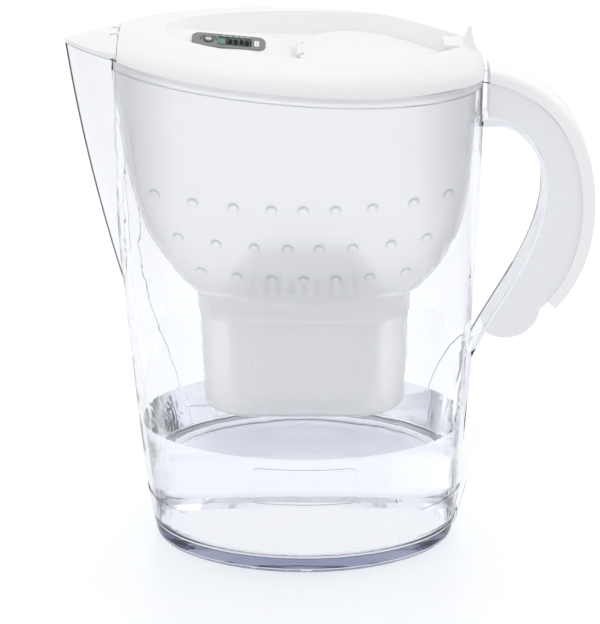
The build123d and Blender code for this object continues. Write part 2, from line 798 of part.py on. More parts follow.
def flap_outline(over, inset=0.0):
    """Outline of the fill flap, which follows the recess towards the handle."""
    edge = CREST_LAND + RECESS_RUN + PART_GAP + inset
    return teardrop(
        slanted(over),
        -FLAP_START_X - inset,
        CREST_HANDLE_SIDE - edge,
        CREST_HALF_WIDTH - edge,
        CREST_WIDEST_X,
        CREST_FULLNESS,
    )


def bowl_rim(over, inset):
    """Plan of the bowl where it meets the rim."""
    return egg(
        slanted(over),
        RIM_SPOUT_SIDE - JUG_WALL - GAP_AT_SPOUT_SIDE - inset,
        RIM_HANDLE_SIDE - JUG_WALL - GAP_AT_HANDLE_SIDE - inset,
        RIM_HALF_WIDTH - JUG_WALL - GAP_AT_FLANK - inset,
        RIM_WIDEST_X,
    )


def strip(over, start_x, end_x, half_width):
    """Rectangle along the lid on the plane a given height over the rim."""
    with BuildSketch(slanted(over)) as section:
        with Locations(((start_x + end_x) / 2, 0)):
            Rectangle(end_x - start_x, 2 * half_width)
    return section.sketch


def rod(x, over, radius, half_length):
    """Round rod across the lid, with its axis a given height over the rim."""
    with BuildPart() as bar:
        with BuildSketch(Plane.XZ):
            with Locations((x, rim_height_at(x) + over)):
                Circle(radius)
        extrude(amount=half_length, both=True)
    return bar.part


def ears(x, over, radius, near, far, foot_x, foot_over, bore):
    """Pair of blocks, round about a hinge and reaching to a foot, at each side of the axis."""
    with BuildPart() as pair:
        with BuildSketch(Plane.XZ):
            with Locations((x, rim_height_at(x) + over)):
                Circle(radius)
            with BuildLine():
                Polyline(
                    (x, rim_height_at(x) + over + radius),
                    (x, rim_height_at(x) + over - radius),
                    (foot_x, rim_height_at(foot_x) + foot_over - radius),
                    (foot_x, rim_height_at(foot_x) + foot_over + radius),
                    close=True,
                )
            make_face()
            if bore:
                with Locations((x, rim_height_at(x) + over)):
                    Circle(bore, mode=Mode.SUBTRACT)
        extrude(amount=far, both=True)
        with BuildSketch(Plane.XZ):
            with Locations((x, rim_height_at(x) + over)):
                Rectangle(20 * radius, 20 * radius)
        extrude(amount=near, both=True, mode=Mode.SUBTRACT)
    return pair.part


def quadrant_outside(x, over, radius, size, corner, half_length):
    """Square prism on one side of a hinge, without the round of a given radius about it."""
    with BuildPart() as prism:
        with BuildSketch(Plane.XZ):
            with Locations((x, rim_height_at(x) + over)):
                Rectangle(size, size, align=(corner, corner))
                Circle(radius, mode=Mode.SUBTRACT)
        extrude(amount=half_length, both=True)
    return prism.part


def pod_section(station, inset=0.0):
    """Arched cross-section of the pod, standing in the recess."""
    x, half, crown = station
    foot = rim_height_at(x) + RECESS_FLOOR
    base = foot - LID_SKIN / 2
    with BuildSketch(Plane.YZ.offset(x)) as section:
        with BuildLine():
            ThreePointArc(
                (half - inset, foot - inset),
                (0, rim_height_at(x) + crown - inset),
                (inset - half, foot - inset),
            )
            Polyline(
                (inset - half, foot - inset),
                (inset - half, base - inset),
                (half - inset, base - inset),
                (half - inset, foot - inset),
            )
        make_face()
    return section.sketch


with BuildPart() as dome:
    loft(roll_sections(ROLL_HEIGHT))

with BuildPart() as under_dome:
    loft(roll_sections(ROLL_HEIGHT - LID_SKIN, LID_SKIN))

with BuildPart() as hollow:
    add(under_dome.part)
    loft(recess_sections(-LID_SKIN, LID_SKIN), ruled=True, mode=Mode.SUBTRACT)

# Skirt that locates the lid inside the bowl, with the flat ring that rests on the rim
with BuildPart() as lid_base:
    extrude(roll_section(0, 0), amount=LID_BASE, dir=(0, 0, 1))
    add(dome.part, mode=Mode.INTERSECT)
    extrude(bowl_rim(-SKIRT_DEPTH, FUNNEL_WALL + SKIRT_GAP), amount=SKIRT_DEPTH, dir=(0, 0, 1))
    extrude(
        bowl_rim(-SKIRT_DEPTH, FUNNEL_WALL + SKIRT_GAP + SKIRT_WALL),
        amount=2 * SKIRT_DEPTH,
        dir=(0, 0, 1),
        mode=Mode.SUBTRACT,
    )

# The indicator's own plane: along its face, with the normal out of the flank of the pod
fall = radians(INDICATOR_FALL)
tilt = radians(INDICATOR_TILT)
face_plane = Plane(
    origin=(INDICATOR_X, INDICATOR_Y, rim_height_at(INDICATOR_X) + INDICATOR_OVER),
    x_dir=(cos(fall), 0, -sin(fall)),
    z_dir=(sin(fall) * cos(tilt), -sin(tilt), cos(fall) * cos(tilt)),
)


def case_outline(depth, inset=0.0):
    """Rounded outline of the indicator, a given depth under its face."""
    with BuildSketch(face_plane.offset(-depth)) as section:
        RectangleRounded(
            FACE_LENGTH - 2 * inset, FACE_WIDTH - 2 * inset, FACE_CORNER - inset
        )
    return section.sketch


flap_pivot_x = FLAP_START_X + FLAP_BARREL - PART_GAP
flap_pivot_over = RECESS_FLOOR + PART_GAP + FLAP_BARREL

with BuildPart() as lid:
    add(dome.part)
    add(hollow.part, mode=Mode.SUBTRACT)
    loft(recess_sections(), ruled=True, mode=Mode.SUBTRACT)
    add(lid_base.part)
    loft([pod_section(station) for station in POD])
    loft([pod_section(station, LID_SKIN) for station in POD[:-1]], mode=Mode.SUBTRACT)
    extrude(case_outline(CASE_DEPTH + 2 * CASE_WALL, -2 * CASE_WALL), amount=CASE_DEPTH)
    extrude(case_outline(FACE_THICKNESS, -FIT_GAP), amount=ROLL_HEIGHT, mode=Mode.SUBTRACT)
    extrude(
        case_outline(CASE_DEPTH + FIT_GAP, FACE_BORDER - FIT_GAP),
        amount=CASE_DEPTH,
        mode=Mode.SUBTRACT,
    )
    extrude(
        flap_outline(-SKIRT_DEPTH, FLAP_LEDGE),
        amount=ROLL_HEIGHT,
        dir=(0, 0, 1),
        mode=Mode.SUBTRACT,
    )
    extrude(
        strip(LID_BASE, TONGUE_START_X - PART_GAP, SPOUT_REACH, TONGUE_HALF_WIDTH + PART_GAP),
        amount=2 * ROLL_HEIGHT,
        dir=(0, 0, 1),
        mode=Mode.SUBTRACT,
    )
    split(bisect_by=Plane.YZ.offset(SEAM_X), keep=Keep.TOP)
    add(
        ears(
            COVER_PIVOT_X,
            COVER_PIVOT_OVER,
            COVER_KNUCKLE,
            COVER_BARREL_HALF + PART_GAP,
            COVER_BARREL_HALF + PART_GAP + PIN_LENGTH,
            SEAM_X + LID_SKIN / 2,
            COVER_PIVOT_OVER,
            COVER_PIN + PIN_GAP,
        )
    )
    add(
        ears(
            flap_pivot_x,
            flap_pivot_over,
            FLAP_BARREL,
            FLAP_BARREL_HALF + PART_GAP,
            FLAP_BARREL_HALF + PART_GAP + PIN_LENGTH,
            flap_pivot_x - FLAP_BARREL,
            RECESS_FLOOR,
            FLAP_PIN + PIN_GAP,
        )
    )
lid.part.label = "lid_shell"
export_step(lid.part, "parts/lid_shell.step")

# Fill flap: a pillow over the recess, with a tongue that takes its place in the roll
tab_scoop = [(x, rim_height_at(x) + over) for x, over in TAB_SCOOP]
tab_back = [(x, rim_height_at(x) + over) for x, over in TAB_BACK]
tab_underside = [(x, rim_height_at(x) + over) for x, over in TAB_UNDERSIDE]
tab_far_side = [(half, rim_height_at(TAB_TIP_X) + over) for half, over in TAB_FLARE]
tab_near_side = [(-half, height) for half, height in tab_far_side]
tab_foot = rim_height_at(TAB_TIP_X)

with BuildPart() as tab:
    with BuildSketch(Plane.XZ):
        with BuildLine():
            Spline(*tab_scoop)
            Line(tab_scoop[-1], tab_back[0])
            Spline(*tab_back)
            Line(tab_back[-1], tab_underside[0])
            Spline(*tab_underside)
            Line(tab_underside[-1], tab_scoop[0])
        make_face()
    extrude(amount=TONGUE_HALF_WIDTH, both=True)
    with BuildSketch(Plane.YZ):
        with BuildLine():
            Spline(*tab_far_side)
            Spline(*tab_near_side)
            Line(tab_far_side[0], tab_near_side[0])
            Polyline(
                tab_far_side[-1],
                (TONGUE_HALF_WIDTH, tab_foot),
                (-TONGUE_HALF_WIDTH, tab_foot),
                tab_near_side[-1],
            )
        make_face()
    extrude(amount=2 * RIM_HANDLE_SIDE, mode=Mode.INTERSECT)
    fillet(tab.edges().group_by(Axis.Z)[-1], radius=TAB_EDGE)

with BuildPart() as tongue:
    add(dome.part)
    extrude(
        strip(LID_BASE + PART_GAP, TONGUE_START_X, SPOUT_REACH, TONGUE_HALF_WIDTH),
        amount=2 * ROLL_HEIGHT,
        dir=(0, 0, 1),
        mode=Mode.INTERSECT,
    )
    add(under_dome.part, mode=Mode.SUBTRACT)
    extrude(
        strip(LID_BASE + PART_GAP, TONGUE_START_X, TONGUE_START_X + FLAP_SKIN, TONGUE_HALF_WIDTH),
        amount=ROLL_HEIGHT - LID_BASE - PART_GAP - FLAP_SKIN / 2,
        dir=(0, 0, 1),
    )
    add(tab.part)


def pillow_sections(base, inset=0.0):
    """Outlines of the flap's crown, whose profile is most of a quarter of an ellipse."""
    turns = [radians(angle) for angle in (0, 25, 50, 70, 85)]
    return [
        flap_outline(base + PILLOW_HEIGHT * sin(turn), inset + PILLOW_RUN * (1 - cos(turn)))
        for turn in turns
    ]


with BuildPart() as flap:
    base = RECESS_FLOOR + PART_GAP
    extrude(flap_outline(base), amount=FLAP_EDGE, dir=(0, 0, 1))
    loft(pillow_sections(base + FLAP_EDGE))
    loft(pillow_sections(base + FLAP_EDGE - FLAP_SKIN, FLAP_SKIN), mode=Mode.SUBTRACT)
    add(tongue.part)
    add(
        quadrant_outside(
            flap_pivot_x, flap_pivot_over, FLAP_BARREL, PILLOW_RUN, Align.MAX, CREST_HALF_WIDTH
        ),
        mode=Mode.SUBTRACT,
    )
    add(rod(flap_pivot_x, flap_pivot_over, FLAP_BARREL, FLAP_BARREL_HALF))
    with BuildSketch(slanted(base)):
        with Locations(
            (flap_pivot_x, FLAP_BARREL_HALF + PIN_LENGTH / 2 + PART_GAP),
            (flap_pivot_x, -FLAP_BARREL_HALF - PIN_LENGTH / 2 - PART_GAP),
        ):
            Rectangle(2 * FLAP_BARREL + 4 * PART_GAP, PIN_LENGTH + 2 * PART_GAP)
    extrude(amount=ROLL_HEIGHT, mode=Mode.SUBTRACT)
    add(rod(flap_pivot_x, flap_pivot_over, FLAP_PIN, FLAP_BARREL_HALF + PIN_LENGTH))
flap.part.label = "fill_flap"
export_step(flap.part, "parts/fill_flap.step")


# Spout cover
def cover_section(station, drop=0.0):
    """Arched cross-section over the spout, with its edges a little over the rim."""
    x, half, edge, crown = station
    low = rim_height_at(x) + PART_GAP - drop
    high = rim_height_at(x) - drop
    with BuildSketch(Plane.YZ.offset(x)) as section:
        with BuildLine():
            ThreePointArc((half, high + edge), (0, high + crown), (-half, high + edge))
            Polyline((-half, high + edge), (-half, low), (half, low), (half, high + edge))
        make_face()
    return section.sketch


spout_top = rim_height_at(-SPOUT_REACH)
with BuildPart() as cover_space:
    loft([cover_section(station, COVER_SKIN) for station in COVER])
    extrude(
        spout_section(RIM_HEIGHT, COVER_SKIN),
        amount=2 * ROLL_HEIGHT,
        mode=Mode.INTERSECT,
    )
    split(bisect_by=Plane.YZ.offset(COVER_PIVOT_X - COVER_BARREL), keep=Keep.BOTTOM)

with BuildPart() as cover:
    loft([cover_section(station) for station in COVER])
    extrude(spout_section(spout_top), amount=2 * ROLL_HEIGHT, both=True, mode=Mode.INTERSECT)
    split(bisect_by=Plane.YZ.offset(SEAM_X - PART_GAP), keep=Keep.BOTTOM)
    add(cover_space.part, mode=Mode.SUBTRACT)
    extrude(
        strip(-1, COVER_PIVOT_X - COVER_BARREL, SEAM_X, RIM_HALF_WIDTH),
        amount=LID_BASE + 1,
        dir=(0, 0, 1),
        mode=Mode.SUBTRACT,
    )
    add(
        quadrant_outside(
            COVER_PIVOT_X,
            COVER_PIVOT_OVER,
            COVER_KNUCKLE,
            2 * COVER_KNUCKLE,
            Align.MIN,
            SPOUT_HALF_WIDTH,
        ),
        mode=Mode.SUBTRACT,
    )
    add(
        ears(
            COVER_PIVOT_X,
            COVER_PIVOT_OVER,
            COVER_KNUCKLE + PART_GAP,
            COVER_BARREL_HALF,
            COVER_BARREL_HALF + PIN_LENGTH + 2 * PART_GAP,
            SEAM_X,
            COVER_PIVOT_OVER,
            0,
        ),
        mode=Mode.SUBTRACT,
    )
    add(rod(COVER_PIVOT_X, COVER_PIVOT_OVER, COVER_BARREL, COVER_BARREL_HALF))
    add(rod(COVER_PIVOT_X, COVER_PIVOT_OVER, COVER_PIN, COVER_BARREL_HALF + PIN_LENGTH))
cover.part.label = "spout_cover"
export_step(cover.part, "parts/spout_cover.step")


# Indicator, drawn in the plane of its face, from the face down to the back cover
def face_shape(depth, x, length, width, corner=0.0):
    """Rounded rectangle a given depth under the face, or plain where the corner is zero."""
    with BuildSketch(face_plane.offset(-depth)) as section:
        with Locations((x, 0)):
            if corner:
                RectangleRounded(length, width, corner)
            else:
                Rectangle(length, width)
    return section.sketch


def face_disc(depth, x, radius):
    with BuildSketch(face_plane.offset(-depth)) as section:
        with Locations((x, 0)):
            Circle(radius)
    return section.sketch


WINDOW_CORNER = 0.8
CASE_INSET = FACE_BORDER + FIT_GAP
BACK_DEPTH = CASE_DEPTH - BACK_THICKNESS
SEAL_DEPTH = BACK_DEPTH - SEAL_THICKNESS
INNER_LENGTH = FACE_LENGTH - 2 * CASE_INSET - 2 * CASE_WALL - 2 * FIT_GAP
INNER_WIDTH = FACE_WIDTH - 2 * CASE_INSET - 2 * CASE_WALL - 2 * FIT_GAP
INNER_CORNER = FACE_CORNER - CASE_INSET - CASE_WALL
LCD_DEPTH = FACE_THICKNESS + LCD_THICKNESS
BOARD_TOP = LCD_DEPTH + STRIP_THICKNESS
BOARD_DEPTH = BOARD_TOP + BOARD_THICKNESS
CONTACT_DEPTH = BOARD_DEPTH + CONTACT_THICKNESS
CELL_DEPTH = CONTACT_DEPTH + CELL_THICKNESS
DOME_THICKNESS = 0.4

with BuildPart() as face:
    extrude(case_outline(FACE_THICKNESS), amount=FACE_THICKNESS)
    extrude(
        face_shape(FACE_THICKNESS, WINDOW_X, WINDOW_LENGTH, WINDOW_WIDTH, WINDOW_CORNER),
        amount=FACE_THICKNESS,
        mode=Mode.SUBTRACT,
    )
    extrude(
        face_disc(FACE_THICKNESS, BUTTON_X, BUTTON_RADIUS + FIT_GAP),
        amount=FACE_THICKNESS,
        mode=Mode.SUBTRACT,
    )
face.part.label = "indicator_face"
export_step(face.part, "parts/indicator_face.step")

with BuildPart() as window:
    extrude(
        face_shape(
            FACE_THICKNESS,
            WINDOW_X,
            WINDOW_LENGTH - 2 * FIT_GAP,
            WINDOW_WIDTH - 2 * FIT_GAP,
            WINDOW_CORNER - FIT_GAP,
        ),
        amount=FACE_THICKNESS - FIT_GAP,
    )
window.part.label = "indicator_window"
export_step(window.part, "parts/indicator_window.step")

with BuildPart() as case:
    extrude(case_outline(SEAL_DEPTH, CASE_INSET), amount=SEAL_DEPTH - FACE_THICKNESS)
    extrude(
        case_outline(SEAL_DEPTH, CASE_INSET + CASE_WALL),
        amount=SEAL_DEPTH - FACE_THICKNESS,
        mode=Mode.SUBTRACT,
    )
case.part.label = "indicator_housing"
export_step(case.part, "parts/indicator_housing.step")

with BuildPart() as seal:
    extrude(case_outline(BACK_DEPTH, CASE_INSET), amount=SEAL_THICKNESS)
    extrude(
        case_outline(BACK_DEPTH, CASE_INSET + CASE_WALL),
        amount=SEAL_THICKNESS,
        mode=Mode.SUBTRACT,
    )
seal.part.label = "indicator_seal"
export_step(seal.part, "parts/indicator_seal.step")

with BuildPart() as back:
    extrude(case_outline(CASE_DEPTH, CASE_INSET), amount=BACK_THICKNESS)
back.part.label = "indicator_back"
export_step(back.part, "parts/indicator_back.step")

with BuildPart() as lcd:
    extrude(
        face_shape(LCD_DEPTH, WINDOW_X, WINDOW_LENGTH + 2, INNER_WIDTH), amount=LCD_THICKNESS
    )
lcd.part.label = "lcd_panel"
export_step(lcd.part, "parts/lcd_panel.step")

with BuildPart() as contact_strip:
    with BuildSketch(face_plane.offset(-BOARD_TOP)):
        with Locations((WINDOW_X, INNER_WIDTH / 2 - STRIP_THICKNESS)):
            Rectangle(WINDOW_LENGTH, STRIP_THICKNESS)
    extrude(amount=STRIP_THICKNESS)
contact_strip.part.label = "contact_strip"
export_step(contact_strip.part, "parts/contact_strip.step")

with BuildPart() as board:
    extrude(face_shape(BOARD_DEPTH, 0, INNER_LENGTH, INNER_WIDTH, INNER_CORNER), amount=BOARD_THICKNESS)
board.part.label = "circuit_board"
export_step(board.part, "parts/circuit_board.step")

with BuildPart() as dome_switch:
    extrude(face_disc(BOARD_TOP, BUTTON_X, BUTTON_RADIUS), amount=DOME_THICKNESS)
dome_switch.part.label = "button_dome"
export_step(dome_switch.part, "parts/button_dome.step")

with BuildPart() as button:
    extrude(face_disc(FACE_THICKNESS, BUTTON_X, BUTTON_RADIUS), amount=FACE_THICKNESS + BUTTON_PROUD)
    extrude(
        face_disc(
            BOARD_TOP - DOME_THICKNESS - BUTTON_TRAVEL - FIT_GAP, BUTTON_X, BUTTON_RADIUS / 2
        ),
        amount=BOARD_TOP - DOME_THICKNESS - BUTTON_TRAVEL - FIT_GAP,
    )
button.part.label = "start_button"
export_step(button.part, "parts/start_button.step")

with BuildPart() as cell_contact:
    extrude(
        face_shape(CONTACT_DEPTH, BUTTON_X, 2 * CELL_RADIUS, CELL_RADIUS),
        amount=CONTACT_THICKNESS,
    )
cell_contact.part.label = "cell_contact"
export_step(cell_contact.part, "parts/cell_contact.step")

with BuildPart() as cell:
    extrude(face_disc(CELL_DEPTH, BUTTON_X, CELL_RADIUS), amount=CELL_THICKNESS)
cell.part.label = "coin_cell"
export_step(cell.part, "parts/coin_cell.step")
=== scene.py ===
# %% [markdown]
# A water filter pitcher is five kinds of plastic in one object: a clear jug, a frosted funnel,
# a grey cartridge, a white lid with a white grip, and a small dark indicator in the lid.
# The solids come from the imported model, in metres, with the spout towards -X and the handle
# towards +X. This lesson gives each of them its finish and adds what the solids leave out:
# the marks on the indicator, the cells of its display, the pad of its button and the water in
# the jug.

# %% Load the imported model
from math import cos, radians, sin

import bmesh
import bpy
from mathutils import Matrix, Vector


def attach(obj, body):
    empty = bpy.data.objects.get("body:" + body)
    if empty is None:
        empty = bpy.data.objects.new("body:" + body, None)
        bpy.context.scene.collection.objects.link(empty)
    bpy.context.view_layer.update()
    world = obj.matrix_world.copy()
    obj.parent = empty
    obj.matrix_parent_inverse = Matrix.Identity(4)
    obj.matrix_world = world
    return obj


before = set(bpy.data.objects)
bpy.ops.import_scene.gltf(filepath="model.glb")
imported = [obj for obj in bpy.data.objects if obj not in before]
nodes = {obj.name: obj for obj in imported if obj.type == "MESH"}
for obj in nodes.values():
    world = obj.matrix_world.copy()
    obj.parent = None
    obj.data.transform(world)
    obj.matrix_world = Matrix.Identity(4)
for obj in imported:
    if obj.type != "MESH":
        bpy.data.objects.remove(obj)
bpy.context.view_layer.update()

# %% [markdown]
# Colours are written as the hex values that a picture of the object shows. Those are sRGB,
# while a shader works with linear light, so one function turns the first into the second.


# %% Colour and length helpers
def hex_colour(text):
    """Linear colour, with an alpha of 1, of an sRGB hex value such as "C9CFE0"."""
    shares = [int(text[i : i + 2], 16) / 255 for i in (0, 2, 4)]
    linear = [s / 12.92 if s <= 0.04045 else ((s + 0.055) / 1.055) ** 2.4 for s in shares]
    return (*linear, 1.0)


def per_metre(millimetres):
    """Scale of a pattern on Object coordinates whose real size is given in millimetres."""
    return 1000 / millimetres


print("linear lavender:", hex_colour("C9CFE0"))

# %% [markdown]
# Every material is a small tree of nodes around one Principled shader. A helper that makes a
# node, sets its values and links its inputs keeps the trees short. Patterns read Object
# coordinates, and since no object is moved or turned at rest, those are the model's metres.


# %% Node helpers
def add(tree, kind, settings=None, links=None):
    """A node with its properties and input values set and its inputs linked."""
    node = tree.nodes.new(kind)
    for name, value in (settings or {}).items():
        if isinstance(name, int) or name in node.inputs:
            node.inputs[name].default_value = value
        else:
            setattr(node, name, value)
    for name, source in (links or {}).items():
        tree.links.new(source, node.inputs[name])
    return node


def new_finish(name, colour, **values):
    """Material with a Principled shader, and the Object coordinates that patterns read."""
    material = bpy.data.materials.new(name)
    material.use_nodes = True
    tree = material.node_tree
    shader = tree.nodes["Principled BSDF"]
    shader.inputs["Base Color"].default_value = hex_colour(colour)
    for socket, value in values.items():
        shader.inputs[socket.replace("_", " ")].default_value = value
    place = add(tree, "ShaderNodeTexCoord").outputs["Object"]
    return material, tree, shader, place


def wear(material, names):
    """Give the solids of these names one material."""
    for name in names:
        nodes[name].data.materials.clear()
        nodes[name].data.materials.append(material)
    print(material.name, "on", ", ".join(names))


# %% [markdown]
# The jug is injection-moulded SAN, a clear hard plastic with an IOR of 1.57. A polished mould
# leaves it as smooth as glass, but the wall is never quite even: it shrinks a little as it
# sets, so reflections wander over some centimetres. SAN swallows a little more yellow than
# blue, which the eye sees only where it looks along the wall, at the rim, the spout and the
# base. A volume that absorbs does that by itself. For the rays that bring light to a dull
# surface the alpha drops, because a clear jug lets the light through to what stands in it.


# %% Clear moulded plastic
def let_light_through(tree, shader, share):
    """Lower the alpha for shadow rays and diffuse rays, and for no others."""
    path = add(tree, "ShaderNodeLightPath")
    soft = add(
        tree,
        "ShaderNodeMath",
        {"operation": "MAXIMUM"},
        {0: path.outputs["Is Shadow Ray"], 1: path.outputs["Is Diffuse Ray"]},
    )
    alpha = add(
        tree,
        "ShaderNodeMath",
        {"operation": "MULTIPLY_ADD", 1: -share, 2: 1.0},
        {0: soft.outputs[0]},
    )
    tree.links.new(alpha.outputs[0], shader.inputs["Alpha"])


clear, tree, shader, place = new_finish(
    "clear_san", "FFFFFF", Transmission_Weight=1.0, IOR=1.57, Roughness=0.02
)
wander = add(
    tree, "ShaderNodeTexNoise", {"Scale": per_metre(45), "Detail": 1.0}, {"Vector": place}
)
ripple = add(
    tree,
    "ShaderNodeBump",
    {"Strength": 0.15, "Distance": 0.0001},
    {"Height": wander.outputs["Fac"]},
)
tree.links.new(ripple.outputs["Normal"], shader.inputs["Normal"])
let_light_through(tree, shader, 1.0)
swallow = add(
    tree, "ShaderNodeVolumeAbsorption", {"Color": hex_colour("98A1C4"), "Density": 15.0}
)
tree.links.new(swallow.outputs[0], tree.nodes["Material Output"].inputs["Volume"])
wear(clear, ["jug"])

# %% [markdown]
# The funnel is thin polypropylene, milky rather than clear. Its crystals scatter the light, so
# what is behind it shows soft, as through frosted glass, and near things show sharper than
# far ones. Transmission with a middling roughness gives that, and the share that is left comes
# back as plain white. The IOR is low, because scattered light is hardly bent on the whole. The
# surface is glossier than the milky inside, so it has a coat, and a fine bump for its grain.

# %% Frosted polypropylene
frosted, tree, shader, place = new_finish(
    "frosted_polypropylene",
    "FFFFFF",
    Transmission_Weight=0.84,
    IOR=1.18,
    Roughness=0.44,
    Coat_Weight=1.0,
    Coat_Roughness=0.06,
)
blasted = add(
    tree, "ShaderNodeTexNoise", {"Scale": per_metre(1.2), "Detail": 3.0}, {"Vector": place}
)
grain = add(
    tree,
    "ShaderNodeBump",
    {"Strength": 0.1, "Distance": 0.00005},
    {"Height": blasted.outputs["Fac"]},
)
tree.links.new(grain.outputs["Normal"], shader.inputs["Normal"])
let_light_through(tree, shader, 0.95)
print(frosted.name, "has", len(tree.nodes), "nodes so far")

# %% [markdown]
# Three rows of round dimples run along both flanks of the bowl. Light falls from above, so the
# upper rim of each hollow turns away from it. The hollows are in the solid, but a finish as soft
# as this one loses so shallow a shade, and a painted shade in the base colour brings it back.
# It is a crescent: what is left of a disc when another disc, a little lower, is taken from it.

# %% Painted shade in the dimples
# Height of each row and how far its dimples lie from the middle, in millimetres
DIMPLE_ROWS = (
    (208.0, (-77.6, -57.4, -36.4, -16.9, -0.7, 15.8, 34.8, 56.0, 74.3)),
    (185.0, (-65.8, -45.7, -26.0, -8.6, 7.5, 24.9, 44.7, 63.5)),
    (165.0, (-54.1, -35.1, -17.0, -0.5, 16.2, 34.0, 53.1)),
)
# The soft edges of both discs, in metres, and how much lower the second lies, in millimetres
DISC_EDGE = (0.0027, 0.0032)
BITE_EDGE = (0.0018, 0.0032)
BITE_DROP = 1.0


def nearest_dimple(tree, place, lower_mm):
    """Distance in metres, seen from the side, to the nearest middle, lowered by some mm."""
    flat = add(
        tree, "ShaderNodeVectorMath", {"operation": "MULTIPLY", 1: (1.0, 0.0, 1.0)}, {0: place}
    )
    near = None
    for height, row in DIMPLE_ROWS:
        for x in row:
            away = add(
                tree,
                "ShaderNodeVectorMath",
                {"operation": "DISTANCE", 1: (x / 1000, 0.0, (height - lower_mm) / 1000)},
                {0: flat.outputs[0]},
            ).outputs["Value"]
            if near is None:
                near = away
            else:
                links = {0: near, 1: away}
                near = add(tree, "ShaderNodeMath", {"operation": "MINIMUM"}, links).outputs[0]
    return near


disc = add(
    tree,
    "ShaderNodeMapRange",
    {"From Min": DISC_EDGE[0], "From Max": DISC_EDGE[1], "To Min": 1.0, "To Max": 0.0},
    {"Value": nearest_dimple(tree, place, 0.0)},
)
bite = add(
    tree,
    "ShaderNodeMapRange",
    {"From Min": BITE_EDGE[0], "From Max": BITE_EDGE[1]},
    {"Value": nearest_dimple(tree, place, BITE_DROP)},
)
crescent = add(
    tree,
    "ShaderNodeMath",
    {"operation": "MULTIPLY"},
    {0: disc.outputs["Result"], 1: bite.outputs["Result"]},
)
# Painted shade: the crescent darkens the base colour of the funnel at the upper rim of each dimple
painted_shade = add(tree, "ShaderNodeValToRGB", {}, {"Fac": crescent.outputs[0]})
painted_shade.color_ramp.elements[0].color = hex_colour("FFFFFF")
painted_shade.color_ramp.elements[1].color = hex_colour("C3C7D0")
tree.links.new(painted_shade.outputs["Color"], shader.inputs["Base Color"])
wear(frosted, ["funnel"])

# %% [markdown]
# Lid, flap and spout cover are moulded in white ABS, with a satin gloss from a mould that
# was eroded rather than polished. Pure white would lose the soft shading on the roll of
# the lid, so the white stays a little under full. The erosion leaves a grain of about a third
# of a millimetre, which is drawn at half a millimetre here so that it can show.


# %% White satin plastic
def satin(name, colour, roughness, grain_mm, depth):
    """Moulded plastic with an eroded grain and a roughness that varies a little."""
    material, tree, shader, place = new_finish(name, colour, Roughness=roughness, IOR=1.53)
    pits = add(
        tree,
        "ShaderNodeTexNoise",
        {"Scale": per_metre(grain_mm), "Detail": 2.0, "Roughness": 0.6},
        {"Vector": place},
    )
    patches = add(
        tree, "ShaderNodeTexNoise", {"Scale": per_metre(30), "Detail": 2.0}, {"Vector": place}
    )
    polish = add(
        tree,
        "ShaderNodeMapRange",
        {"From Min": 0.3, "From Max": 0.7, "To Min": roughness - 0.04, "To Max": roughness + 0.05},
        {"Value": patches.outputs["Fac"]},
    )
    grain = add(
        tree,
        "ShaderNodeBump",
        {"Strength": 0.2, "Distance": depth / 1000},
        {"Height": pits.outputs["Fac"]},
    )
    tree.links.new(polish.outputs["Result"], shader.inputs["Roughness"])
    tree.links.new(grain.outputs["Normal"], shader.inputs["Normal"])
    return material, tree, shader, place


white, tree, shader, place = satin("white_abs", "F4F4F5", 0.34, 0.5, 0.03)
shader.inputs["Subsurface Weight"].default_value = 0.08
shader.inputs["Subsurface Scale"].default_value = 0.002
wear(white, ["lid_shell", "fill_flap", "spout_cover"])

# %% [markdown]
# The grip is the same plastic. Its core sits in the clear channel of the handle, where less light
# reaches it, so a fuller white, painted light, brings it to the tone that the picture shows.

# %% Painted lighter white of the grip
# Painted light: a fuller white than that of the lid makes up for the light that the channel keeps
# off
grip_white_painted_lighter, tree, shader, place = satin("white_abs_grip_painted_lighter", "FDFDFE", 0.34, 0.5, 0.03)
shader.inputs["Subsurface Weight"].default_value = 0.08
shader.inputs["Subsurface Scale"].default_value = 0.002
wear(grip_white_painted_lighter, ["handle_grip"])

# %% [markdown]
# The cartridge is polypropylene again, but filled with a pigment: a soft light grey that lets
# no picture through. It only shows behind the frosted wall of the well.

# %% Cartridge plastic
cartridge_grey, tree, shader, place = satin("grey_polypropylene", "DFE0E3", 0.5, 0.8, 0.05)
wear(cartridge_grey, ["cartridge_cup", "cartridge_cap"])

# %% [markdown]
# Under and over the granules lies a woven polyester mesh. Two sets of bands, one along each
# side, cross to give the weave, and the height of the bands also darkens the holes between the
# threads. A wave texture turns by 20 radians per unit, so a scale of 125 sets the threads
# 2.5 mm apart, which is several times coarser than a real sieve cloth.

# %% Woven mesh
WEAVE_SCALE = 125.0

mesh, tree, shader, place = new_finish("polyester_mesh", "E2E1DC", Roughness=0.65)
threads = []
for direction in ("X", "Y"):
    band = add(
        tree,
        "ShaderNodeTexWave",
        {"bands_direction": direction, "Scale": WEAVE_SCALE, "Distortion": 0.3},
        {"Vector": place},
    )
    threads.append(band.outputs["Fac"])
weave = add(
    tree, "ShaderNodeMath", {"operation": "MAXIMUM"}, {0: threads[0], 1: threads[1]}
)
hole = add(tree, "ShaderNodeValToRGB", {}, {"Fac": weave.outputs[0]})
hole.color_ramp.elements[0].color = hex_colour("8E8C86")
hole.color_ramp.elements[1].color = hex_colour("E9E8E4")
relief = add(
    tree, "ShaderNodeBump", {"Strength": 0.6, "Distance": 0.0002}, {"Height": weave.outputs[0]}
)
tree.links.new(hole.outputs["Color"], shader.inputs["Base Color"])
tree.links.new(relief.outputs["Normal"], shader.inputs["Normal"])
wear(mesh, ["cartridge_inlet_mesh", "cartridge_outlet_mesh"])

# %% [markdown]
# The filter media is a mix of black activated carbon and honey-coloured resin beads, each
# about a millimetre across. A Voronoi pattern gives every grain its own cell, and a random
# value per cell decides whether it is carbon or resin.

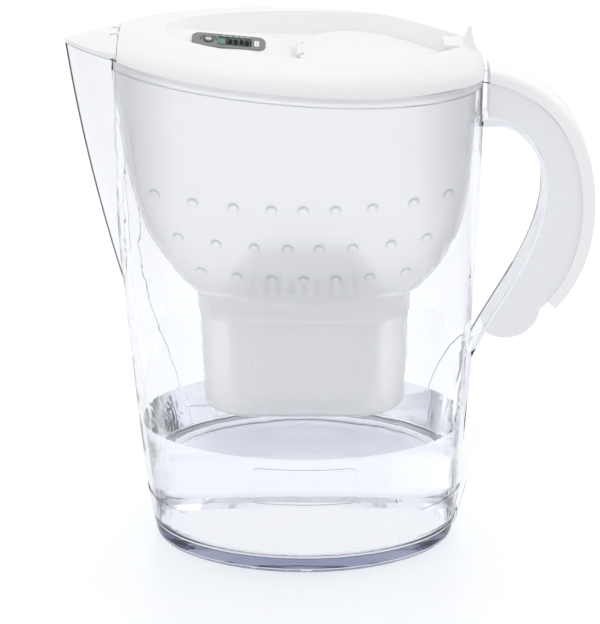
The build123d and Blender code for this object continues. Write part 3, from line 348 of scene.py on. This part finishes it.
# %% Granules
media, tree, shader, place = new_finish("carbon_and_resin", "2B2825", Roughness=0.7)
grains = add(
    tree, "ShaderNodeTexVoronoi", {"Scale": per_metre(1.0)}, {"Vector": place}
)
kind = add(tree, "ShaderNodeSeparateColor", {}, {"Color": grains.outputs["Color"]})
choice = add(tree, "ShaderNodeValToRGB", {}, {"Fac": kind.outputs["Red"]})
choice.color_ramp.interpolation = "CONSTANT"
choice.color_ramp.elements[0].color = hex_colour("24211F")
choice.color_ramp.elements[1].position = 0.6
choice.color_ramp.elements[1].color = hex_colour("B58A4C")
bead = add(
    tree,
    "ShaderNodeBump",
    {"Strength": 0.8, "Distance": 0.0005},
    {"Height": grains.outputs["Distance"]},
)
tree.links.new(choice.outputs["Color"], shader.inputs["Base Color"])
tree.links.new(bead.outputs["Normal"], shader.inputs["Normal"])
wear(media, ["cartridge_media"])

# %% [markdown]
# The indicator is a small sealed case of its own: a grey satin face, a darker housing and back,
# a rubber seal, and inside them a display, a board, a snap dome and a coin cell. Its outside
# shows when the indicator is lifted out of its pocket, and what is inside stays hidden.

# %% Plastics and metals of the indicator
face_grey, tree, shader, place = satin("grey_abs_face", "7C7E81", 0.4, 0.35, 0.02)
wear(face_grey, ["indicator_face"])
button_grey, tree, shader, place = satin("grey_abs_button", "3A3B3E", 0.32, 0.35, 0.02)
wear(button_grey, ["start_button"])
housing, tree, shader, place = satin("black_abs_housing", "2E2F31", 0.42, 0.4, 0.02)
wear(housing, ["indicator_housing", "indicator_back"])
rubber, tree, shader, place = satin("silicone_rubber", "2A2A2C", 0.7, 0.3, 0.02)
wear(rubber, ["indicator_seal", "contact_strip"])

# %% [markdown]
# The lens over the display is polycarbonate, polished and clear. The picture shows hardly any
# reflection in it, so its IOR is set lower than the 1.58 of the plastic. The display under it
# is a liquid-crystal panel, whose reflective back gives the grey-green that every such panel
# has, with a faint mottle from the rubbed glass.

# %% Lens and display
lens, tree, shader, place = new_finish(
    "clear_polycarbonate", "FFFFFF", Transmission_Weight=1.0, IOR=1.3, Roughness=0.03
)
let_light_through(tree, shader, 0.95)
scuff = add(
    tree, "ShaderNodeTexNoise", {"Scale": per_metre(6), "Detail": 2.0}, {"Vector": place}
)
haze = add(
    tree,
    "ShaderNodeMapRange",
    {"To Min": 0.01, "To Max": 0.06},
    {"Value": scuff.outputs["Fac"]},
)
tree.links.new(haze.outputs["Result"], shader.inputs["Roughness"])
wear(lens, ["indicator_window"])

panel, tree, shader, place = new_finish(
    "liquid_crystal_glass", "55756A", Roughness=0.25, Specular_IOR_Level=0.1
)
mottle = add(
    tree, "ShaderNodeTexNoise", {"Scale": per_metre(1.5), "Detail": 2.0}, {"Vector": place}
)
tone = add(tree, "ShaderNodeValToRGB", {}, {"Fac": mottle.outputs["Fac"]})
tone.color_ramp.elements[0].color = hex_colour("3C5C51")
tone.color_ramp.elements[1].color = hex_colour("4B6C60")
tree.links.new(tone.outputs["Color"], shader.inputs["Base Color"])
wear(panel, ["lcd_panel"])

# %% [markdown]
# The board is glass cloth in green solder mask: the weave of the cloth, about half a
# millimetre, just shows through the lacquer. Dome, contact and cell are rolled steel and
# keep the fine straight lines of the rolling.

# %% Board and steel
board, tree, shader, place = new_finish(
    "solder_masked_laminate", "1E5A3C", Roughness=0.35, Coat_Weight=0.4, Coat_Roughness=0.1
)
cloth = add(
    tree,
    "ShaderNodeTexChecker",
    {"Scale": per_metre(0.5), "Color1": hex_colour("1B5537"), "Color2": hex_colour("226243")},
    {"Vector": place},
)
tree.links.new(cloth.outputs["Color"], shader.inputs["Base Color"])
wear(board, ["circuit_board"])

steel, tree, shader, place = new_finish("rolled_steel", "C4C5C7", Metallic=1.0, Roughness=0.3)
stretch = add(
    tree, "ShaderNodeMapping", {"Scale": (per_metre(6), per_metre(0.15), per_metre(0.15))},
    {"Vector": place},
)
lines = add(
    tree, "ShaderNodeTexNoise", {"Scale": 1.0, "Detail": 3.0}, {"Vector": stretch.outputs[0]}
)
brushed = add(
    tree,
    "ShaderNodeMapRange",
    {"To Min": 0.2, "To Max": 0.42},
    {"Value": lines.outputs["Fac"]},
)
tree.links.new(brushed.outputs["Result"], shader.inputs["Roughness"])
wear(steel, ["button_dome", "cell_contact", "coin_cell"])

# %% [markdown]
# Everything drawn on the indicator lies in the tilted plane of its face. One matrix carries
# that plane: its first axis runs along the face, its third out of it. The marks are made
# flat, in millimetres around the middle of the face, and the matrix puts them in place.

# %% The plane of the indicator
FACE_MIDDLE = (-39.5, -9.6, 283.6386)
FACE_TILT = radians(17.5)
FACE_FALL = radians(5.3)

along = Vector((cos(FACE_FALL), 0, -sin(FACE_FALL)))
outwards = Vector(
    (sin(FACE_FALL) * cos(FACE_TILT), -sin(FACE_TILT), cos(FACE_FALL) * cos(FACE_TILT))
)
across = outwards.cross(along)
face_matrix = Matrix.Scale(0.001, 4) @ (
    Matrix.Translation(FACE_MIDDLE)
    @ Matrix((along, across, outwards)).transposed().to_4x4()
)
print("face normal:", [round(v, 4) for v in outwards])

# %% [markdown]
# A mark is a thin plate with rounded corners, like a thick coat of pad printing. It is sunk by
# 0.02 mm, so that no gap opens under it, and stands out by 0.04 or 0.05 mm. It starts as a cube
# that is scaled to size, and a bevel of its four upright edges rounds it.


# %% Helper for printed marks
def printed(mesh_data, x, y, length, width, corner, low, high, turn=0.0):
    """Add a rounded plate between two heights over the face to a bmesh in millimetres."""
    place = (
        Matrix.Translation((x, y, (low + high) / 2))
        @ Matrix.Rotation(turn, 4, "Z")
        @ Matrix.Diagonal((length, width, high - low, 1))
    )
    made = bmesh.ops.create_cube(mesh_data, size=1, matrix=place)
    upright = [
        e
        for e in {e for v in made["verts"] for e in v.link_edges}
        if abs(e.verts[0].co.z - e.verts[1].co.z) > 0.5 * (high - low)
    ]
    bmesh.ops.bevel(
        mesh_data,
        geom=upright,
        offset=corner,
        segments=3,
        profile=0.5,
        affect="EDGES",
        material=-1,
    )


def to_piece(mesh_data, name, matrix, material, body):
    """Turn a bmesh into an object at the origin that rides on a body."""
    bmesh.ops.transform(mesh_data, matrix=matrix, verts=mesh_data.verts)
    bmesh.ops.recalc_face_normals(mesh_data, faces=mesh_data.faces)
    data = bpy.data.meshes.new(name)
    mesh_data.to_mesh(data)
    mesh_data.free()
    data.materials.append(material)
    piece = bpy.data.objects.new(name, data)
    bpy.context.scene.collection.objects.link(piece)
    if body:
        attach(piece, body)
    print(name, "has", len(data.polygons), "faces")
    return piece


# %% [markdown]
# The display shows four dark bars, which disappear week by week, between two thin lines, with
# a lighter field at the left. They are drawn on the outer face of the lens, where they stay
# crisp at any angle.

# %% Cells of the display
# Lower and upper side of a mark, from the face outwards; the lens ends 0.1 mm below the face
ON_LENS = (-0.12, -0.06)

ink, tree, shader, place = satin("display_ink", "0E1513", 0.5, 0.3, 0.01)
shader.inputs["Specular IOR Level"].default_value = 0.1
cells = bmesh.new()
for x in (0.74, 3.73, 6.75, 9.58):
    printed(cells, x, -0.5, 2.1, 4.4, 0.25, *ON_LENS)
for x in (-1.05, 11.35):
    printed(cells, x, -0.5, 0.5, 5.2, 0.1, *ON_LENS)
to_piece(cells, "display_bars", face_matrix, ink, "indicator")

field_ink, tree, shader, place = satin("display_field", "6F9987", 0.5, 0.3, 0.01)
shader.inputs["Specular IOR Level"].default_value = 0.1
field = bmesh.new()
printed(field, -3.35, -0.5, 3.4, 4.8, 0.3, *ON_LENS)
to_piece(field, "display_field", face_matrix, field_ink, "indicator")

# %% [markdown]
# The face carries pale print: five ticks along the upper side of the display and, at the
# right, a small panel in two halves with a bar across its foot. Two dark arcs, each a row of
# short strokes, stand beside the button. They are plain signs without words.

# %% Print on the face
BUTTON_X = -10.5
ARC_TURNS = (0, 14, 28, 42, 56, 124, 138, 152, 166, 180)
ARC_REACH = (4.1, 3.5)
ON_FACE = (-0.02, 0.04)
OVER_PRINT = (-0.02, 0.05)

print_ink, tree, shader, place = satin("pale_print", "F2F3F3", 0.45, 0.3, 0.01)
marks = bmesh.new()
for x in (-2.7, 0.6, 3.9, 6.7, 9.7):
    printed(marks, x, 4.75, 1.7, 0.4, 0.1, *ON_FACE)
for x in (14.05, 15.35):
    printed(marks, x, -0.3, 1.1, 5.0, 0.2, *ON_FACE)
printed(marks, 14.7, -2.4, 2.4, 0.8, 0.15, *OVER_PRINT)
to_piece(marks, "face_print", face_matrix, print_ink, "indicator")

arc_ink, tree, shader, place = satin("dark_print", "2A2C2F", 0.45, 0.3, 0.01)
arcs = bmesh.new()
for turn in ARC_TURNS:
    angle = radians(turn)
    x = BUTTON_X + ARC_REACH[0] * cos(angle)
    y = 0.2 + ARC_REACH[1] * sin(angle)
    printed(arcs, x, y, 0.7, 1.1, 0.1, *OVER_PRINT, angle)
to_piece(arcs, "face_arcs", face_matrix, arc_ink, "indicator")

# %% [markdown]
# On the dark button sits a pale pad for the fingertip. It starts as a half sphere, which is
# squashed to a low crown and moves with the button.

# %% Pad of the button
PAD_HALF = (1.75, 1.55, 0.45)
PAD_FOOT = 0.29

pad_look, tree, shader, place = satin("pale_abs_pad", "C9CBCD", 0.3, 0.35, 0.02)
pad = bmesh.new()
bmesh.ops.create_uvsphere(pad, u_segments=32, v_segments=16, radius=1.0)
below = [v for v in pad.verts if v.co.z < -0.01]
bmesh.ops.delete(pad, geom=below, context="VERTS")
bmesh.ops.contextual_create(pad, geom=[e for e in pad.edges if e.is_boundary])
bmesh.ops.scale(pad, vec=PAD_HALF, verts=pad.verts)
bmesh.ops.translate(pad, vec=(BUTTON_X, 0.25, PAD_FOOT), verts=pad.verts)
pad_piece = to_piece(pad, "button_pad", face_matrix, pad_look, "button")
for polygon in pad_piece.data.polygons:
    polygon.use_smooth = True

# %% [markdown]
# The jug in the picture holds a little filtered water, clear with a breath of blue. A drop
# from the outlet leaves one broad, low ring in its surface. The ring comes from a wave around
# the middle whose crests lie 57 mm apart, and it fades out before the second crest.

# %% Look of the water
RING_SCALE = 50 / 9
RING_FADES = (0.02, 0.055)

water_look, tree, shader, place = new_finish(
    "water", "FFFFFF", Transmission_Weight=1.0, IOR=1.333, Roughness=0.0
)
let_light_through(tree, shader, 1.0)
flat = add(tree, "ShaderNodeMapping", {"Scale": (1.0, 1.0, 0.0)}, {"Vector": place})
rings = add(
    tree,
    "ShaderNodeTexWave",
    {"wave_type": "RINGS", "rings_direction": "SPHERICAL", "Scale": RING_SCALE},
    {"Vector": flat.outputs[0]},
)
reach_of_drops = add(
    tree, "ShaderNodeVectorMath", {"operation": "LENGTH"}, {0: flat.outputs[0]}
)
fading = add(
    tree,
    "ShaderNodeMapRange",
    {"From Min": RING_FADES[0], "From Max": RING_FADES[1], "To Min": 1.0, "To Max": 0.0},
    {"Value": reach_of_drops.outputs["Value"]},
)
swell = add(
    tree,
    "ShaderNodeMath",
    {"operation": "MULTIPLY"},
    {0: rings.outputs["Fac"], 1: fading.outputs["Result"]},
)
waves = add(
    tree, "ShaderNodeBump", {"Strength": 0.5, "Distance": 0.0006}, {"Height": swell.outputs[0]}
)
tree.links.new(waves.outputs["Normal"], shader.inputs["Normal"])
tint = add(tree, "ShaderNodeVolumeAbsorption", {"Color": hex_colour("D4DEF4"), "Density": 1.5})
tree.links.new(tint.outputs[0], tree.nodes["Material Output"].inputs["Volume"])
print(water_look.name, "has", len(tree.nodes), "nodes")

# %% [markdown]
# Water is what the pitcher is used with and no part of it, so it is staged like the floor. Its
# body follows the inside of the wall: a circle of vertices is stretched by different amounts
# towards spout and handle, and each extrusion carries it up to the next width. A small gap to
# the wall keeps the two surfaces from lying in one another.

# %% Body of the water
WATER_TOP = 68.5
# Height, reach towards the spout, reach towards the handle and half width of the inner wall
INSIDE = (
    (7.1, 75.6, 76.6, 52.7),
    (8.8, 79.8, 80.8, 57.0),
    (13.0, 82.6, 83.4, 59.1),
    (WATER_TOP, 89.3, 87.0, 61.7),
)
WATER_GAP = 0.25
STEPS = 160

pool = bmesh.new()
bmesh.ops.create_circle(pool, segments=STEPS, radius=1.0, cap_ends=True)
verts = list(pool.verts)
edges = [e for e in pool.edges if e.is_boundary]
low = 0.0
spout_reach = handle_reach = half = 1 + WATER_GAP
for height, next_spout, next_handle, next_half in INSIDE:
    if low:
        grown = bmesh.ops.extrude_edge_only(pool, edges=edges)["geom"]
        verts = [g for g in grown if isinstance(g, bmesh.types.BMVert)]
        edges = [g for g in grown if isinstance(g, bmesh.types.BMEdge) and g.is_boundary]
    widening = (next_half - WATER_GAP) / (half - WATER_GAP)
    for side, now, then in ((-1, spout_reach, next_spout), (1, handle_reach, next_handle)):
        lengthening = (then - WATER_GAP) / (now - WATER_GAP)
        part = [v for v in verts if side * v.co.x > 1e-6]
        bmesh.ops.scale(pool, vec=(lengthening, 1, 1), verts=part)
    bmesh.ops.scale(pool, vec=(1, widening, 1), verts=verts)
    bmesh.ops.translate(pool, vec=(0, 0, height - low), verts=verts)
    low, spout_reach, handle_reach, half = height, next_spout, next_handle, next_half
bmesh.ops.contextual_create(pool, geom=edges)
water = to_piece(pool, "water", Matrix.Scale(0.001, 4), water_look, None)

# %% [markdown]
# Clear plastic in front of white shows by its edges alone, so a photographer stands a dark
# card at each side of it. Here floor and sky are dimmer at the two sides instead, and only for
# rays that went through a clear piece or came off a glossy one. Nothing else sees the cards.

# %% Dark cards at the sides
CARD_TONE = 0.4
CARD_EDGE = (0.04, 0.34)


def flags(tree, vector):
    """1 in front, behind and above, falling to the card's tone low down at the two sides."""
    unit = add(tree, "ShaderNodeVectorMath", {"operation": "NORMALIZE"}, {0: vector})
    square = add(
        tree,
        "ShaderNodeVectorMath",
        {"operation": "MULTIPLY"},
        {0: unit.outputs[0], 1: unit.outputs[0]},
    )
    part = add(tree, "ShaderNodeSeparateXYZ", {}, {0: square.outputs[0]})
    total = add(
        tree, "ShaderNodeMath", {"operation": "ADD"}, {0: part.outputs[1], 1: part.outputs[2]}
    )
    return add(
        tree,
        "ShaderNodeMapRange",
        {
            "interpolation_type": "SMOOTHSTEP",
            "From Min": CARD_EDGE[0],
            "From Max": CARD_EDGE[1],
            "To Min": CARD_TONE,
        },
        {"Value": total.outputs[0]},
    ).outputs["Result"]


# %% [markdown]
# The set is a pale floor under a pale sky. The floor is lit like anything else, so it keeps
# the shadow of the jug. A little light of its own lifts it to white, and only the camera and
# rays through clear plastic see that light.

# %% Floor
FLOOR_LIFT = 0.2
# The cards are seen from this far below the floor, in metres, so that they end softly on it
CARD_DEPTH = 0.2

floor_look, tree, shader, place = new_finish("pale_floor", "EDEFF2", Roughness=0.35)
path = add(tree, "ShaderNodeLightPath")
seen = add(
    tree,
    "ShaderNodeMath",
    {"operation": "ADD", "use_clamp": True},
    {0: path.outputs["Is Camera Ray"], 1: path.outputs["Is Transmission Ray"]},
)
lift = add(
    tree, "ShaderNodeMath", {"operation": "MULTIPLY", 1: FLOOR_LIFT}, {0: seen.outputs[0]}
)
above = add(
    tree, "ShaderNodeVectorMath", {"operation": "ADD", 1: (0.0, 0.0, CARD_DEPTH)}, {0: place}
)
through = add(
    tree,
    "ShaderNodeMath",
    {"operation": "MAXIMUM"},
    {0: path.outputs["Is Transmission Ray"], 1: path.outputs["Is Glossy Ray"]},
)
dimmed = add(
    tree,
    "ShaderNodeMix",
    {2: 1.0},
    {0: through.outputs[0], 3: flags(tree, above.outputs[0])},
)
floor_tone = add(
    tree,
    "ShaderNodeVectorMath",
    {"operation": "SCALE", 0: hex_colour("EDEFF2")[:3]},
    {"Scale": dimmed.outputs[0]},
)
glow = add(
    tree, "ShaderNodeMath", {"operation": "MULTIPLY"}, {0: lift.outputs[0], 1: dimmed.outputs[0]}
)
tree.links.new(floor_tone.outputs[0], shader.inputs["Base Color"])
shader.inputs["Emission Color"].default_value = hex_colour("FFFFFF")
tree.links.new(glow.outputs[0], shader.inputs["Emission Strength"])
dust = add(
    tree, "ShaderNodeTexNoise", {"Scale": per_metre(80), "Detail": 2.0}, {"Vector": place}
)
even = add(
    tree,
    "ShaderNodeMapRange",
    {"To Min": 0.33, "To Max": 0.37},
    {"Value": dust.outputs["Fac"]},
)
tree.links.new(even.outputs["Result"], shader.inputs["Roughness"])

ground = bmesh.new()
bmesh.ops.create_grid(ground, x_segments=2, y_segments=2, size=4.0)
floor = to_piece(ground, "floor", Matrix.Translation((0, 0, -0.0002)), floor_look, None)

# %% [markdown]
# The sky is even and white, and gives most of the light. It is full white to the camera, in
# reflections and through clear plastic, and a little weaker as a lamp, so that the white lid
# keeps its shading.

# %% Sky
SKY_AS_LAMP = 0.88

world = bpy.data.worlds.new("white_sky")
bpy.context.scene.world = world
world.use_nodes = True
sky = world.node_tree
background = sky.nodes["Background"]
background.inputs["Color"].default_value = hex_colour("FFFFFF")
rays = add(sky, "ShaderNodeLightPath")
either = add(
    sky,
    "ShaderNodeMath",
    {"operation": "MAXIMUM"},
    {0: rays.outputs["Is Camera Ray"], 1: rays.outputs["Is Transmission Ray"]},
)
any_of = add(
    sky,
    "ShaderNodeMath",
    {"operation": "MAXIMUM"},
    {0: either.outputs[0], 1: rays.outputs["Is Glossy Ray"]},
)
level = add(
    sky,
    "ShaderNodeMapRange",
    {"To Min": SKY_AS_LAMP, "To Max": 1.0},
    {"Value": any_of.outputs[0]},
)
directions = add(sky, "ShaderNodeTexCoord").outputs["Generated"]
curved = add(
    sky,
    "ShaderNodeMath",
    {"operation": "MAXIMUM"},
    {0: rays.outputs["Is Transmission Ray"], 1: rays.outputs["Is Glossy Ray"]},
)
flagged = add(
    sky, "ShaderNodeMix", {2: 1.0}, {0: curved.outputs[0], 3: flags(sky, directions)}
)
strength = add(
    sky,
    "ShaderNodeMath",
    {"operation": "MULTIPLY"},
    {0: level.outputs["Result"], 1: flagged.outputs[0]},
)
sky.links.new(strength.outputs[0], background.inputs["Strength"])
print("sky has", len(sky.nodes), "nodes")

# %% [markdown]
# Three soft boxes give the even light of the sky a direction: a large one overhead, a weaker
# one at the left and a small one behind the handle. All are so large that no shadow has a hard
# edge.


# %% Lamps
def soft_box(name, place, aim, size, power):
    """Square area lamp that faces a point."""
    light = bpy.data.lights.new(name, "AREA")
    light.size = size
    light.energy = power
    lamp = bpy.data.objects.new(name, light)
    lamp.location = place
    lamp.rotation_euler = (Vector(aim) - Vector(place)).to_track_quat("-Z", "Y").to_euler()
    bpy.context.scene.collection.objects.link(lamp)


soft_box("overhead_box", (0.1, 0.5, 1.9), (0, 0, 0.15), 1.4, 4.0)
soft_box("left_box", (-1.6, -0.9, 0.9), (0, 0, 0.15), 1.0, 2.0)
soft_box("right_box", (1.4, 0.6, 1.0), (0.05, 0, 0.15), 0.8, 1.5)

# %% [markdown]
# The camera stands 1.4 m in front of the jug and looks 21 degrees down, with a long lens that
# keeps the walls nearly upright. Its place was worked out from the outline of the object.
# A ray crosses jug, funnel and water on its way, so it may bend more often than is usual.

# %% Camera
FOCAL_PIXELS = 2731.35
FRAME_PIXELS = 624
SENSOR = 36.0
LOOK_DOWN = 21.3827

view = bpy.data.cameras.new("photo_view")
view.sensor_width = SENSOR
view.lens = FOCAL_PIXELS / FRAME_PIXELS * SENSOR
view.clip_end = 50.0
camera = bpy.data.objects.new("photo_view", view)
camera.location = (-0.00235, -1.38498, 0.67069)
camera.rotation_euler = (radians(90 - LOOK_DOWN), 0, 0)
bpy.context.scene.collection.objects.link(camera)
bpy.context.scene.camera = camera
bpy.context.scene.view_settings.view_transform = "Standard"
paths = bpy.context.scene.cycles
paths.max_bounces = 24
paths.transmission_bounces = 20
paths.glossy_bounces = 8
paths.transparent_max_bounces = 48
print("lens in millimetres:", round(view.lens, 1))
